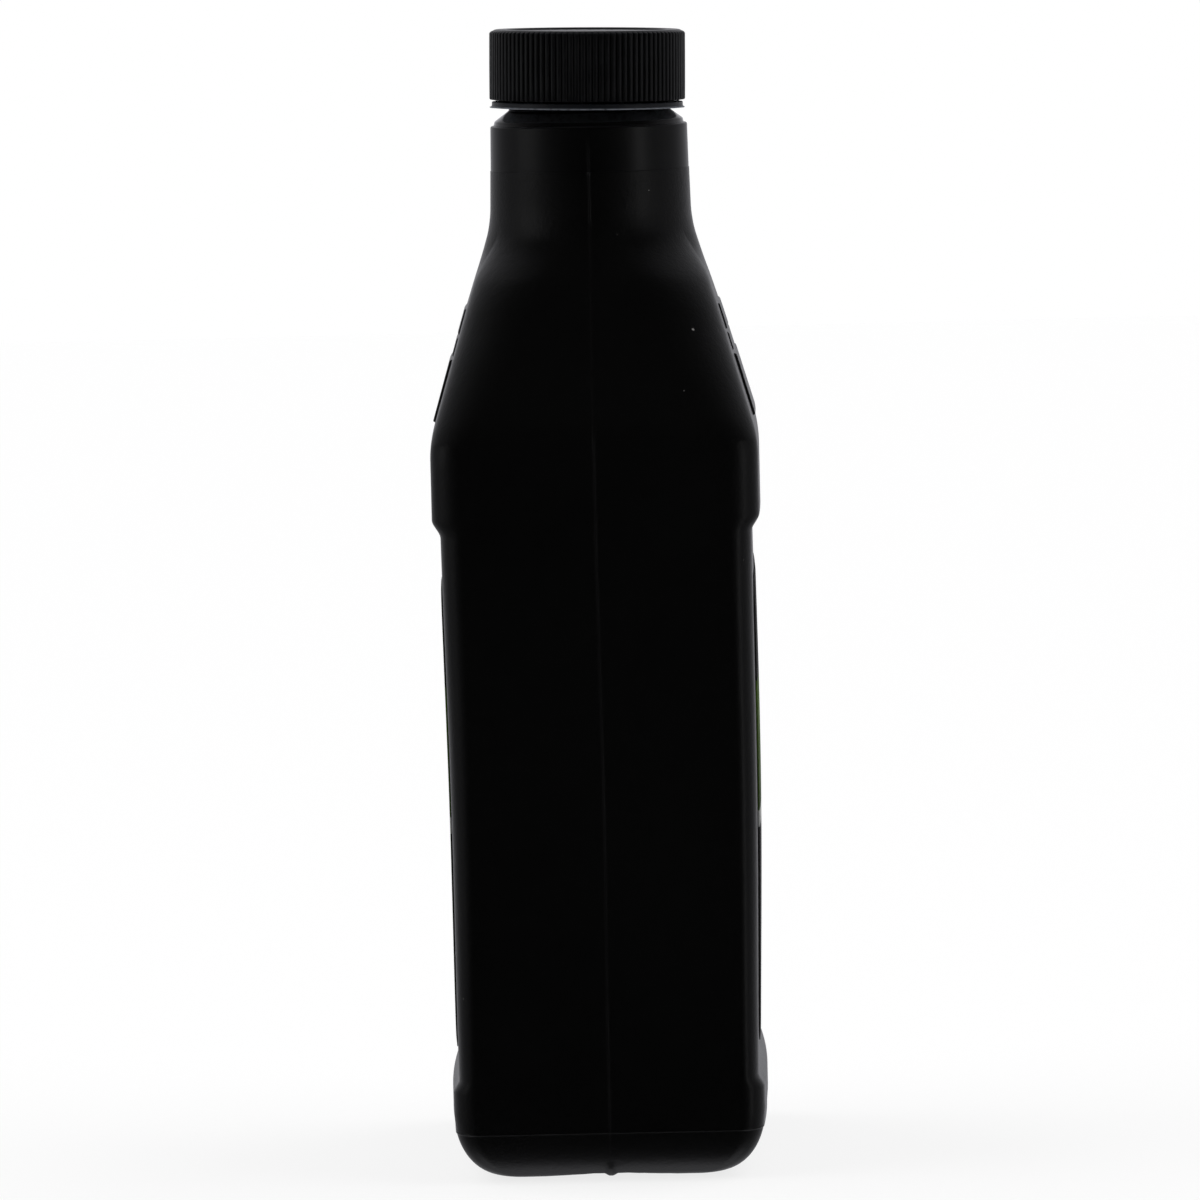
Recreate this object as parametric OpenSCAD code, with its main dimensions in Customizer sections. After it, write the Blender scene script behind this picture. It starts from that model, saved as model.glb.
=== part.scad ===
// Gear oil bottle: a flat blown bottle of a quart with a ribbed screw cap and its tamper band.
// Millimetres. Z is up, X runs across the wide label faces, Y through the narrow depth.
// The origin is under the middle of the base, on the surface that the bottle stands on.

/* [Body] */
// Width across the label faces
body_w = 95; // [87:1:104]
// Depth of the shoulder block at its corners
body_d = 67; // [62:1:72]
// Corner radius of the body in plan
corner_r = 6.4; // [5:0.2:8]
// Bow of the wide faces on the shoulder block
block_bow = 0.5; // [0.2:0.1:1]
// Wall of the blown body
wall_t = 0.95; // [0.8:0.05:1.5]

/* [Shoulder] */
// Height where the neck starts to flare out
flare_z = 195; // [193:0.2:197]
// Slope of the wide faces from upright, in degrees
shoulder_angle = 16.2; // [15:0.2:18]
// Blend of the wide faces at the flare and at the lower bend
bend_blend = 0.9; // [0.3:0.1:2]
// Blend of the narrow faces at the same two places
side_blend = 3; // [1:0.5:4]
// Corner radius in the middle of the shoulder
shoulder_r = 13; // [10:0.5:16]

/* [Grip bars] */
// Height of the lowest bar's lower edge
bar_z = 155.3; // [153:0.1:158]
// Heights of the three bars, from the lowest to the highest
bar_h = [12.7, 3.9, 5.4]; // [3:0.1:13]
// Space between two bars
bar_gap = 0.45; // [0.4:0.05:1]
// How far each bar stands proud
bar_t = [0.5, 0.25, 0.3]; // [0.2:0.05:1]
// Half length of the bars at the lowest and at the highest edge
bar_reach = [24, 14]; // [10:1:26]

/* [Label recess] */
// Height of the recess's upper edge
recess_top = 136.6; // [133:0.1:140]
// Height of the middle of the ramp at the recess's lower edge
recess_low = 19.8; // [18:0.1:22]
// Height of the rounded lip at the recess's upper edge
recess_lip = 3.8; // [3:0.1:6]
// Height of that ramp
ramp_h = 2.9; // [2:0.1:4]
// Depth of the recess at its top
recess_d = 1.65; // [1:0.05:2.2]
// How much deeper it is at its bottom
recess_taper = 1.05; // [0.5:0.05:1.5]
// Bow of the label panels in their middle
panel_bow = 0.8; // [0.5:0.1:1.4]
// Part of that bow that is left at their upper and lower edges
edge_bow = 0.4; // [0.2:0.05:0.6]
// How far the body sways to the front between the recess's two edges
sway = 0.35; // [0.1:0.05:0.5]

/* [Base] */
// Depth of the base block at its corners
base_d = 64; // [60:1:68]
// Bow of the base block's wide faces
base_bow = 0.9; // [0.4:0.1:1.4]
// How far the bottom edge's round reaches in
round_w = 10.4; // [8:0.2:12]
// How high the bottom edge's round reaches
round_h = 14; // [11:0.5:16]
// Width of the two feet under the wide faces
foot_w = 4; // [3:0.5:5]
// Rise of the base between the feet and at the narrow ends
arch_h = 0.9; // [0.5:0.1:1.2]
// Height of the push-up in the middle of the base
push_up = 3; // [2:0.5:4]
// Thickness of the base
base_t = 1.8; // [1.4:0.1:2.4]

/* [Neck] */
// Diameter of the neck below the flare's start
neck_d = 42; // [41:0.1:43]
// Height of the mould insert's parting line
insert_z = 206; // [204:0.2:207]
// Height of the ledge under the cap
ledge_z = 215.3; // [214:0.1:216.5]
// Diameter of the ledge
ledge_d = 41; // [40:0.1:41.4]
// How far the cone that rises from the ledge lies inside the ledge's edge
cone_step = 0.7; // [0.5:0.1:1.5]
// Height of the upright foot of that cone
cone_foot = 1; // [0.5:0.1:1.5]
// Space between the top of the cone and the tamper band
cone_gap = 0.35; // [0.3:0.05:0.8]
// Diameter of the threaded wall
finish_d = 34.8; // [34.4:0.1:35.2]
// Height of the mouth above the ledge
finish_h = 17; // [16.5:0.1:17.5]
// Thickness of the threaded wall
finish_t = 2.8; // [2.4:0.1:3.8]
// How far the waist under the bead lies inside the threaded wall
waist_in = 0.8; // [0.6:0.1:1]
// How far the bead that holds the tamper band down stands out from that wall
bead_out = 0.8; // [0.6:0.1:1]
// Height of that bead
bead_h = 1.3; // [1:0.1:1.6]

/* [Thread] */
// Rise of the thread in one turn, six turns to the inch
thread_pitch = 4.233; // [4.233:0.001:4.3]
// Height of the thread above its wall
thread_h = 1.2; // [1:0.05:1.3]
// Width of the thread at its root and at its crest
thread_w = [2, 0.9]; // [0.8:0.1:2.2]
// Turns of the thread
thread_turns = 1.5; // [1.25:0.25:1.5]
// Space between a thread's crest and the other wall
thread_gap = 0.35; // [0.3:0.05:0.4]
// Space between the two threads' flanks
flank_gap = 0.25; // [0.2:0.05:0.4]

/* [Cap] */
// Height of the cap's ribbed skirt
cap_h = 14.6; // [14.4:0.1:14.8]
// Number of ribs
rib_n = 100; // [90:1:110]
// How far the ribs stand proud
rib_t = 0.45; // [0.3:0.05:0.6]
// Wall of the skirt between the ribs
skirt_t = 1; // [0.8:0.1:1.2]
// Thickness of the cap's top
top_t = 1.5; // [1.2:0.1:1.8]
// Radius of the top edge
rim_r = 1; // [0.6:0.1:1.2]
// Depth of the dish in the top
dish_d = 0.4; // [0.2:0.1:0.6]
// Width of the flat rim round the dish
dish_rim = 2.2; // [1.5:0.1:3]

/* [Tamper band] */
// Height of the band
band_h = 1.3; // [1.1:0.1:1.4]
// How far the band's wall lies inside the ribs
band_step = 0.5; // [0.4:0.1:0.8]
// Height of the lip at its foot
lip_h = 0.25; // [0.2:0.05:0.3]
// Height of the slit between the band and the skirt
slit_h = 0.35; // [0.3:0.05:0.4]
// Number of bridges across the slit
bridge_n = 14; // [8:1:18]
// Width of a bridge
bridge_w = 0.8; // [0.5:0.1:1.2]
// Space left between a bridge and the skirt
bridge_gap = 0.1; // [0.08:0.01:0.15]
// Space round the waist inside the band
band_gap = 0.4; // [0.3:0.1:0.5]

/* [Seals] */
// Thickness of the foil seal on the mouth
foil_t = 0.12; // [0.1:0.01:0.15]
// How far the foil stays inside the mouth's outer edge
foil_inset = 0.2; // [0.1:0.1:0.5]
// Thickness of the liner in the cap
liner_t = 0.98; // [0.8:0.01:1.1]
// Space above and below the liner
seal_gap = 0.05; // [0.03:0.01:0.08]
// Space round the liner
liner_gap = 1; // [0.8:0.1:1.2]

/* [Labels] */
// Width of a label
label_w = 73; // [60:1:76]
// Height of a label's lower edge
label_z = 26.5; // [25:0.5:32]
// Height of a label
label_h = 96.8; // [80:0.1:100]
// Corner radius of a label
label_r = 6; // [3:0.5:9]
// Thickness of a label
label_t = 0.3; // [0.2:0.05:0.4]
// Space between a label and the wall
label_gap = 0.09; // [0.08:0.01:0.12]

/* [Filling] */
// Height of the oil's surface
fill_z = 170; // [160:1:174]
// Space between the oil and the wall
fill_gap = 0.2; // [0.1:0.05:0.3]

/* [Hidden] */
$fn = 96;

neck_r = neck_d / 2;
block_y = body_d / 2;
base_y = base_d / 2;
bend_z = flare_z - (block_y - neck_r) / tan(shoulder_angle);
mouth_z = ledge_z + finish_h;
bore_d = finish_d - 2 * finish_t;
waist_d = finish_d - 2 * waist_in;
bead_d = finish_d + 2 * bead_out;
arch_reach = base_y - round_w - foot_w;
push_part = [1, 0.9, 0];

// Heights in the bars, from the lowest bar up
bar_low = [bar_z, bar_z + bar_h[0] + bar_gap, bar_z + bar_h[0] + bar_h[1] + 2 * bar_gap];
bar_edge = 0.35;
bar_top = bar_low[2] + bar_h[2];

// Steps in a corner's quarter round
corner_steps = 6;
// Where the points lie on the straight part of a narrow side and of a wide face
side_parts = [0, 0.25, 0.5];
wide_parts = [0.75, 0.5, 0.25, 0];
// How far the ends of the grip bars' rings may move the points on the wide face outwards
wide_most = [0.96, 0.9];
// Height over which those points move back above the bars
bar_fade = 4;
// Part of the shoulder above which the plan turns into an ellipse
circle_from = 0.72;
// How gently the corners start to grow above the bend
corner_start = 0.04;
// Parts of the shoulder where the corners reach shoulder_r and where they grow on from it
corner_parts = [0.5, 0.6];

// Cap and band, from the mouth up and down
liner_z = mouth_z + foil_t + seal_gap;
ceiling_z = liner_z + liner_t + seal_gap;
cap_top = ceiling_z + top_t;
cap_low = cap_top - cap_h;
thread_r = finish_d / 2 + thread_h;
skirt_in = thread_r + thread_gap;
skirt_r = skirt_in + skirt_t;
cap_r = skirt_r + rib_t;
rim_z = cap_top - rim_r;
band_top = cap_low - slit_h;
band_low = band_top - band_h;
band_r = cap_r - band_step;
bead_z = band_top + 0.1;
hook_r = waist_d / 2 + band_gap;
cone_r = ledge_d / 2 - cone_step;
cone_top = band_low - cone_gap;

// Neck thread, centred between the bead and the mouth
thread_rise = thread_turns * thread_pitch;
thread_z = (bead_z + bead_h + mouth_z - thread_rise) / 2 + 0.2;
thread_sunk = 0.3;
thread_steps = 36;
runout_steps = 5;
flank_fall = (thread_w[0] - thread_w[1]) / 2 / thread_h;
cap_thread_drop = (thread_w[0] + thread_w[1]) / 2 - flank_fall * thread_gap + flank_gap;

function lerp(p, q, t) = p + (q - p) * t;
function clamp01(t) = min(1, max(0, t));
function ease(t) = let (c = clamp01(t)) c * c * (3 - 2 * c);
function soft_max(p, q, k) = let (h = clamp01(0.5 + 0.5 * (p - q) / k)) lerp(q, p, h) + k * h * (1 - h);
function soft_min(p, q, k) = -soft_max(-p, -q, k);

// How far up the shoulder a height is, from 0 at the bend to 1 at the neck
function rise(z) = clamp01((z - bend_z) / (flare_z - bend_z));

// Neck radius, which tapers a little from the flare to the ledge
function neck_at(z) = lerp(neck_r, ledge_d / 2, clamp01((z - flare_z) / (ledge_z - flare_z)));

// Half depth of neck, shoulder and block, without the recess
function block_at(z) =
    let (slope = neck_r + (flare_z - z) * tan(shoulder_angle))
    soft_min(soft_max(neck_at(z), slope, bend_blend), block_y, bend_blend);

// Half depth of the corner columns in the recess
function column_at(z) =
    block_y - recess_d - recess_taper * clamp01((recess_top - z) / (recess_top - recess_low));

// How far in the bottom edge's round goes at a height, for the outer or the inner skin
function round_at(z, low, reach) =
    let (t = clamp01((round_h - z) / (round_h - low))) reach * (1 - sqrt(1 - t * t));

// Part of the way into the recess from above, and out of it at the base
function in_recess(z) = ease((recess_top - z) / recess_lip);
function in_base(z) = ease((recess_low + ramp_h / 2 - z) / ramp_h);

// Bow of a label panel, which is a little barrelled over its height
function panel_at(z) =
    let (u = 2 * clamp01((z - recess_low) / (recess_top - recess_low)) - 1)
    panel_bow * (1 - (1 - edge_bow) * u * u);

// How far the body sways to the front at a height
function sway_at(z) =
    sway * pow(sin(180 * clamp01((z - recess_low) / (recess_top - recess_low))), 2);

// Half depth at a height, at s from 0 in the middle to 1 at the end of a wide face
function face_at(z, s) =
    let (top = lerp(block_at(z), column_at(z), in_recess(z)))
    let (bow = lerp(block_bow * ease(2 - 2 * rise(z)), panel_at(z), in_recess(z)))
    lerp(top + bow * (1 - s * s), base_y + base_bow * (1 - s * s), in_base(z));

// Half width at a height, and the corner radius
function width_at(z) =
    let (slope = neck_r + (flare_z - z) * (body_w / 2 - neck_r) / (flare_z - bend_z))
    soft_min(soft_max(neck_at(z), slope, side_blend), body_w / 2, side_blend);
function growth(t) =
    let (from = sqrt(corner_start), to = sqrt(1 + corner_start))
    (sqrt(clamp01(t) + corner_start) - from) / (to - from);
function corner_at(z) =
    let (low = lerp(corner_r, shoulder_r, growth(rise(z) / corner_parts[0])))
    lerp(low, neck_r - 0.5, ease((rise(z) - corner_parts[1]) / (1 - corner_parts[1])));

// Height of the grip bars over the skin
function bar_at(z, x, reach) =
    let (on = [for (i = [0:2]) z > bar_low[i] - 0.01 && z < bar_low[i] + bar_h[i] + 0.01 ? bar_t[i] : 0])
    x > reach + 0.01 ? 0 : max(on);

// One quarter of a ring, from the middle of a narrow side to the middle of a wide face.
// The narrow side keeps its flat width in the recess, so there the corner's arc is flatter.
function quarter(z, w, low, bars) =
    let (in = w + round_at(z, low, round_w - w))
    let (a = width_at(z) - in)
    let (end = face_at(z, 1) - in)
    let (full = block_at(z) - in)
    let (r = max(0.6, min(corner_at(z) - w, min(a, full) - 0.2)))
    let (flat_x = a - r)
    let (flat_y = full - r)
    let (zone = ease((z - bend_z + 1) / (bar_z - bend_z)) * (1 - ease((z - bar_top - 1) / bar_fade)))
    let (reach = lerp(bar_reach[0], bar_reach[1], clamp01((z - bar_z) / (bar_top - bar_z))))
    let (ends = [min(reach + bar_edge, wide_most[0] * flat_x), min(reach, wide_most[1] * flat_x)])
    let (stops = [lerp(wide_parts[0] * flat_x, ends[0], zone), lerp(wide_parts[1] * flat_x, ends[1], zone),
                  wide_parts[2] * flat_x, wide_parts[3] * flat_x])
    concat(
        [for (y = side_parts) [a, y * flat_y]],
        [for (i = [0:corner_steps])
            let (t = 90 * i / corner_steps)
            [flat_x + r * cos(t), flat_y + (end - flat_y) * sin(t)]],
        [for (x = stops) [x, face_at(z, x / flat_x) - in + (bars ? bar_at(z, x, reach) : 0)]]
    );

// The same quarter as part of an ellipse of the same width and depth
function round_quarter(z, w, n) =
    [for (i = [0:n - 1])
        let (t = 90 * i / (n - 1))
        [(width_at(z) - w) * cos(t), (block_at(z) - w) * sin(t)]];

// A whole ring, blended into an ellipse towards the neck and lifted over the base's arch
function ring(z, w, low = 0, bars = false) =
    let (box = quarter(z, w, low, bars))
    let (n = len(box))
    let (disc = round_quarter(z, w, n))
    let (k = ease((rise(z) - circle_from) / (1 - circle_from)))
    let (q = [for (i = [0:n - 1]) lerp(box[i], disc[i], k)])
    let (whole = mirrored([for (p = q) [p[0], p[1], max(z, low + arch_at(p[1]))]]))
    [for (p = whole) p - [0, sway_at(z), 0]];

// Four quarters from one, counter-clockwise and with no point twice
function mirrored(q) =
    let (n = len(q))
    concat(
        q,
        [for (i = [n - 2:-1:0]) [-q[i][0], q[i][1], q[i][2]]],
        [for (i = [1:n - 1]) [-q[i][0], -q[i][1], q[i][2]]],
        [for (i = [n - 2:-1:1]) [q[i][0], -q[i][1], q[i][2]]]
    );

// Rise of the base's underside across its depth
function arch_at(y) = y < arch_reach ? arch_h * pow(cos(90 * y / arch_reach), 2) : 0;

// A ring of the base inside the feet
function base_ring(inset, z) =
    let (a = body_w / 2 - inset)
    let (b = base_y - inset)
    let (r = max(0.5, corner_r - inset * 0.3))
    let (n = corner_steps)
    mirrored(concat(
        [for (y = side_parts) [a, y * (b - r), max(z, arch_at(y * (b - r)))]],
        [for (i = [0:n])
            let (t = 90 * i / n, y = b - r + r * sin(t))
            [a - r + r * cos(t), y, max(z, arch_at(y))]],
        [for (x = wide_parts) [x * (a - r), b, z]]
    ));

// The three rings of the push-up, from the middle of the base outwards, lifted by dz
function base_rings(dz) = [for (k = [0:2])
    [for (p = base_ring(round_w + (3 - k) * foot_w, push_up * push_part[k])) p + [0, 0, dz]]];

function middle(ring) = [for (k = [0:2]) let (v = [for (p = ring) p[k]]) (min(v) + max(v)) / 2];

// Skin through a list of rings, closed by a fan at each end
module skin(rings) {
    n = len(rings[0]);
    m = len(rings);
    points = concat([for (r = rings) each r], [middle(rings[0]), middle(rings[m - 1])]);
    sides = [for (i = [0:m - 2]) for (j = [0:n - 1])
        let (k = (j + 1) % n)
        each [[i * n + j, (i + 1) * n + j, (i + 1) * n + k], [i * n + j, (i + 1) * n + k, i * n + k]]];
    ends = [for (j = [0:n - 1])
        let (k = (j + 1) % n)
        each [[m * n, j, k], [m * n + 1, (m - 1) * n + k, (m - 1) * n + j]]];
    polyhedron(points, concat(sides, ends));
}

// Heights of the rings
round_z = [for (t = [0:15:75]) round_h * (1 - cos(t))];
ramp_z = [for (i = [-3:3]) recess_low + ramp_h * i / 6];
panel_z = [for (i = [1:7]) lerp(recess_low + ramp_h / 2, recess_top - recess_lip, i / 8)];
lip_z = [for (i = [0:6]) recess_top - recess_lip + recess_lip * i / 6];
blend_z = bend_blend / tan(shoulder_angle);
bend_zs = [for (i = [-5, -3, -2, -1, 0, 1, 2]) bend_z + i * blend_z / 2.2];
bar_zs = [for (i = [0:2]) each concat(
    [bar_low[i] - bar_edge / 2, bar_low[i]],
    i == 0 ? [bar_low[0] + bar_h[0] * 0.2, bar_low[0] + bar_h[0] * 0.5] : [],
    [bar_low[i] + bar_h[i], bar_low[i] + bar_h[i] + bar_edge / 2])];
neck_zs = [for (i = [1:4]) lerp(bar_top, flare_z - 2 * blend_z, i / 4)];
flare_zs = [for (i = [-2:3]) flare_z + i * blend_z / 2];
under_bars = [for (z = bend_zs) if (z < bar_z - bar_edge) z];
outer_low_zs = concat(round_z, [round_h], ramp_z, panel_z, lip_z, under_bars);
outer_zs = concat(outer_low_zs, bar_zs, neck_zs, flare_zs, [insert_z]);

inner_round_z = [for (t = [0:15:75]) base_t + (round_h - base_t) * (1 - cos(t))];
inner_block_zs = [for (i = [0:4]) lerp(bend_z + 1.5 * blend_z, flare_z - blend_z, i / 5)];
inner_low_zs = concat(inner_round_z, [round_h], ramp_z, panel_z, lip_z, bend_zs);
inner_zs = concat(inner_low_zs, inner_block_zs, flare_zs, [insert_z]);

module body_skin() {
    outer = [for (z = outer_zs) ring(z, 0, 0, true)];
    inner = [for (i = [len(inner_zs) - 1:-1:0]) ring(inner_zs[i], wall_t, base_t)];
    floor_rings = base_rings(base_t);
    over = [for (k = [2:-1:0]) floor_rings[k]];
    skin(concat(base_rings(0), outer, inner, over));
}

// Neck above the insert's parting line, turned in one profile
module neck_finish() {
    line_step = 0.08;
    cone_taper = 0.2;
    mouth_cut = 0.5;
    bore_flare = 4;
    outer = neck_at(insert_z) - line_step;
    inner = outer - wall_t + 2 * line_step;
    rotate_extrude() polygon([
        [outer, insert_z], [ledge_d / 2, ledge_z], [cone_r, ledge_z],
        [cone_r - cone_taper, ledge_z + cone_foot], [waist_d / 2, cone_top],
        [waist_d / 2, bead_z], [bead_d / 2, bead_z + bead_h * 0.25],
        [bead_d / 2, bead_z + bead_h * 0.6], [finish_d / 2, bead_z + bead_h],
        [finish_d / 2, mouth_z - mouth_cut], [finish_d / 2 - mouth_cut, mouth_z],
        [bore_d / 2, mouth_z], [bore_d / 2, ledge_z], [inner, ledge_z - bore_flare], [inner, insert_z]
    ]);
}

// A thread ridge on the wall of radius root, standing outwards (way 1) or inwards (way -1)
module thread_ridge(root, way, z0) {
    n = round(thread_steps * thread_turns);
    rings = [for (i = [0:n])
        let (t = 360 * thread_turns * i / n)
        let (z = z0 + thread_rise * i / n)
        let (k = ease(min(i, n - i) / runout_steps))
        let (foot = root - way * thread_sunk)
        let (crest = root + way * lerp(-0.1, thread_h, k))
        let (half = [thread_w[0] / 2 + flank_fall * thread_sunk, lerp(thread_w[0], thread_w[1], k) / 2])
        [for (p = [[foot, -half[0]], [crest, -half[1]], [crest, half[1]], [foot, half[0]]])
            [p[0] * cos(t), p[0] * sin(t), z + p[1]]]];
    skin(way > 0 ? [for (i = [n:-1:0]) rings[i]] : rings);
}

module bottle() {
    color([0.03, 0.03, 0.03]) {
        body_skin();
        neck_finish();
        thread_ridge(finish_d / 2, 1, thread_z);
    }
}

// Oil up to its surface, a little clear of the wall
module gear_oil() {
    top_zs = [for (i = [0:3]) lerp(bend_zs[len(bend_zs) - 1] + 1, fill_z, i / 3)];
    w = wall_t + fill_gap;
    low = base_t + fill_gap;
    color([0.62, 0.42, 0.12, 0.8])
        skin(concat(base_rings(low), [for (z = concat(inner_low_zs, top_zs)) ring(max(z, low), w, low)]));
}

module foil_seal() {
    color("silver") translate([0, 0, mouth_z]) cylinder(r = finish_d / 2 - foil_inset, h = foil_t);
}

module cap_liner() {
    color("white") translate([0, 0, liner_z]) cylinder(r = skirt_in - liner_gap, h = liner_t);
}

// Cap without its ribs, turned in one profile
module cap_shell() {
    arc = [for (t = [0:15:90]) [skirt_r - rim_r + rim_r * cos(t), rim_z + rim_r * sin(t)]];
    dish_r = skirt_r - rim_r - dish_rim;
    dish_z = cap_top - dish_d;
    rotate_extrude() polygon(concat(
        [[skirt_in, cap_low], [skirt_r, cap_low]], arc,
        [[dish_r, cap_top], [dish_r - dish_d, dish_z], [0, dish_z], [0, ceiling_z], [skirt_in, ceiling_z]]
    ));
}

// Ribs as one toothed ring, let into the skirt
module cap_ribs() {
    sunk = 0.25;
    foot_z = cap_low + 0.3;
    tooth = [[skirt_r - sunk, 0.05], [cap_r, 0.22], [cap_r, 0.58], [skirt_r - sunk, 0.75]];
    outline = [for (i = [0:rib_n - 1]) for (p = tooth)
        let (t = (i + p[1]) * 360 / rib_n)
        p[0] * [cos(t), sin(t)]];
    translate([0, 0, foot_z])
        linear_extrude(rim_z - foot_z)
            difference() {
                polygon(outline);
                circle(r = skirt_r - 2 * sunk);
            }
}

module cap() {
    color([0.05, 0.05, 0.05]) {
        cap_shell();
        cap_ribs();
        thread_ridge(skirt_in, -1, thread_z - cap_thread_drop);
    }
}

// Band with its lip, its hook under the bead and its bridges
module tamper_band() {
    hook_h = band_h * 0.6;
    inner_r = bead_d / 2 + 0.2;
    mid_r = (band_r + inner_r) / 2;
    bridge_t = 0.5;
    bridge_sunk = 0.1;
    first_bridge = 177;
    color([0.08, 0.08, 0.08]) {
        rotate_extrude() polygon([
            [hook_r, band_low], [cap_r, band_low], [cap_r, band_low + lip_h], [band_r, band_low + lip_h],
            [band_r, band_top], [inner_r, band_top], [hook_r, band_low + hook_h]
        ]);
        for (i = [0:bridge_n - 1])
            rotate([0, 0, first_bridge + i * 360 / bridge_n])
                translate([mid_r - bridge_t / 2, -bridge_w / 2, band_top - bridge_sunk])
                    cube([bridge_t, bridge_w, slit_h - bridge_gap + bridge_sunk]);
    }
}

// A label on the wide face at -Y, bowed with the panel, with round corners.
// The sheet for the other wide face is turned round later, so there the body sways the other way.
module label_sheet(lean) {
    half = label_w / 2;
    flat_x = body_w / 2 - corner_r;
    corner_turns = [60:-20:0];
    flat_parts = [0.55, 0.28];
    rows = 9;
    round_xs = [for (t = corner_turns) label_r * (1 - sin(t)) - half];
    left = concat([-half], round_xs, -half * flat_parts);
    xs = concat(left, [0], [for (i = [len(left) - 1:-1:0]) -left[i]]);
    grid = [for (x = xs)
        let (over = max(0, abs(x) - half + label_r))
        let (cut = label_r - sqrt(max(0, label_r * label_r - over * over)))
        [for (i = [0:rows])
            let (z = lerp(label_z + cut, label_z + label_h - cut, i / rows))
            [x, face_at(z, x / flat_x) + label_gap + lean * sway_at(z), z]]];
    strips = [for (column = grid) concat(
        [for (p = column) [p[0], -p[1], p[2]]],
        [for (i = [rows:-1:0]) let (p = column[i]) [p[0], -p[1] - label_t, p[2]]])];
    skin([for (i = [len(strips) - 1:-1:0]) strips[i]]);
}

module front_label() {
    color([0.06, 0.07, 0.05]) label_sheet(1);
}

module back_label() {
    color([0.06, 0.07, 0.05]) rotate([0, 0, 180]) label_sheet(-1);
}

bottle();
gear_oil();
foil_seal();
cap_liner();
cap();
tamper_band();
front_label();
back_label();
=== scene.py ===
# %% [markdown]
# A quart bottle of gear oil, dressed for its portrait.
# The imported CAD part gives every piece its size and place. This notebook builds finer meshes over
# those pieces in the same frame, gives each of them a moulded, printed or foamed finish made of
# nodes, and lights them as in the photograph: a black bottle against white, seen from its narrow side.

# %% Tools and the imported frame
import math

import bpy
import numpy as np
from mathutils import Matrix, Vector


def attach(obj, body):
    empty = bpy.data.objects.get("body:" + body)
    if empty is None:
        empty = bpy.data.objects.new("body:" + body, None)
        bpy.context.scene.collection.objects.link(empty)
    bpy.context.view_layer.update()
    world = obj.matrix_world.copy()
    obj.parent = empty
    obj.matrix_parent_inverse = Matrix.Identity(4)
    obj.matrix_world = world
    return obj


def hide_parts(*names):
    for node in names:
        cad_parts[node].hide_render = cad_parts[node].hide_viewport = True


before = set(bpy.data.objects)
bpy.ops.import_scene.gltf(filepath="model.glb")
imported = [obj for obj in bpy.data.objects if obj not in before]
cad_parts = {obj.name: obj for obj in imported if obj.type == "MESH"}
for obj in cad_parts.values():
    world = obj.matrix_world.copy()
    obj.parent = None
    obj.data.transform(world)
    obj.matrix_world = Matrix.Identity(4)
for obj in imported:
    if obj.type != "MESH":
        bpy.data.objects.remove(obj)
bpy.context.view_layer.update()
MM = 0.001

# %% [markdown]
# A blown bottle has no straight edges: each change of section is a soft blend. A few small
# functions, the same ones that the CAD source uses, give those blends. They take single heights or
# whole arrays, so a ring of points is worked out in one line.

# %% Blending functions
def lerp(p, q, t):
    return p + (q - p) * t


def ease(t):
    c = np.clip(t, 0.0, 1.0)
    return c * c * (3 - 2 * c)


def soft_max(p, q, k):
    h = np.clip(0.5 + 0.5 * (p - q) / k, 0.0, 1.0)
    return lerp(q, p, h) + k * h * (1 - h)


def soft_min(p, q, k):
    return -soft_max(-p, -q, k)


def hump(t):
    return np.exp(-t * t)


# %% [markdown]
# These are the bottle's own sizes in millimetres, with the names that they have in the CAD source:
# the body, the shoulder that slopes to the neck, the sunk label panels and the rounded base.

# %% Sizes of the blown body
BODY_W, BODY_D, CORNER_R, BLOCK_BOW, WALL = 95.0, 67.0, 6.4, 0.5, 0.95
FLARE_Z, SLOPE, BEND_BLEND, SIDE_BLEND = 195.0, math.tan(math.radians(16.2)), 0.9, 3.0
BAR_Z, BAR_H, BAR_GAP, BAR_T, BAR_REACH = 155.3, (12.7, 3.9, 5.4), 0.45, (0.5, 0.25, 0.3), (24.0, 14.0)
RECESS_TOP, RECESS_LOW, RECESS_LIP, RAMP_H = 136.6, 19.8, 3.8, 2.9
RECESS_D, RECESS_TAPER, PANEL_BOW, EDGE_BOW, SWAY = 1.65, 1.05, 0.8, 0.4, 0.35
BASE_D, BASE_BOW, ROUND_W, ROUND_H, FOOT_W = 64.0, 0.9, 10.4, 14.0, 4.0
ARCH_H, PUSH_UP, BASE_T = 0.9, 3.0, 1.8
NECK_D, INSERT_Z, LEDGE_Z, LEDGE_D = 42.0, 206.0, 215.3, 41.0

neck_r = NECK_D / 2
block_y = BODY_D / 2
base_y = BASE_D / 2
bend_z = FLARE_Z - (block_y - neck_r) / SLOPE
arch_reach = base_y - ROUND_W - FOOT_W
bar_low = [BAR_Z, BAR_Z + BAR_H[0] + BAR_GAP, BAR_Z + BAR_H[0] + BAR_H[1] + 2 * BAR_GAP]
bar_top = bar_low[2] + BAR_H[2]
BAR_EDGE = 0.35
CIRCLE_FROM, CORNER_START, CORNER_PARTS, SHOULDER_R = 0.72, 0.04, (0.5, 0.6), 13.0
print("the shoulder bends at", round(bend_z, 1), "mm and the bars end at", round(bar_top, 1), "mm")


# %% [markdown]
# A section through the bottle is a rounded box low down and a circle at the neck. Each function
# below gives one measure of that section at a height: half widths, the bow of a face, or the
# radius of a corner.

# %% Measures of a section at a height
def rise(z):
    return np.clip((z - bend_z) / (FLARE_Z - bend_z), 0.0, 1.0)


def neck_at(z):
    return lerp(neck_r, LEDGE_D / 2, np.clip((z - FLARE_Z) / (LEDGE_Z - FLARE_Z), 0.0, 1.0))


def block_at(z):
    return soft_min(soft_max(neck_at(z), neck_r + (FLARE_Z - z) * SLOPE, BEND_BLEND), block_y, BEND_BLEND)


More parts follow.
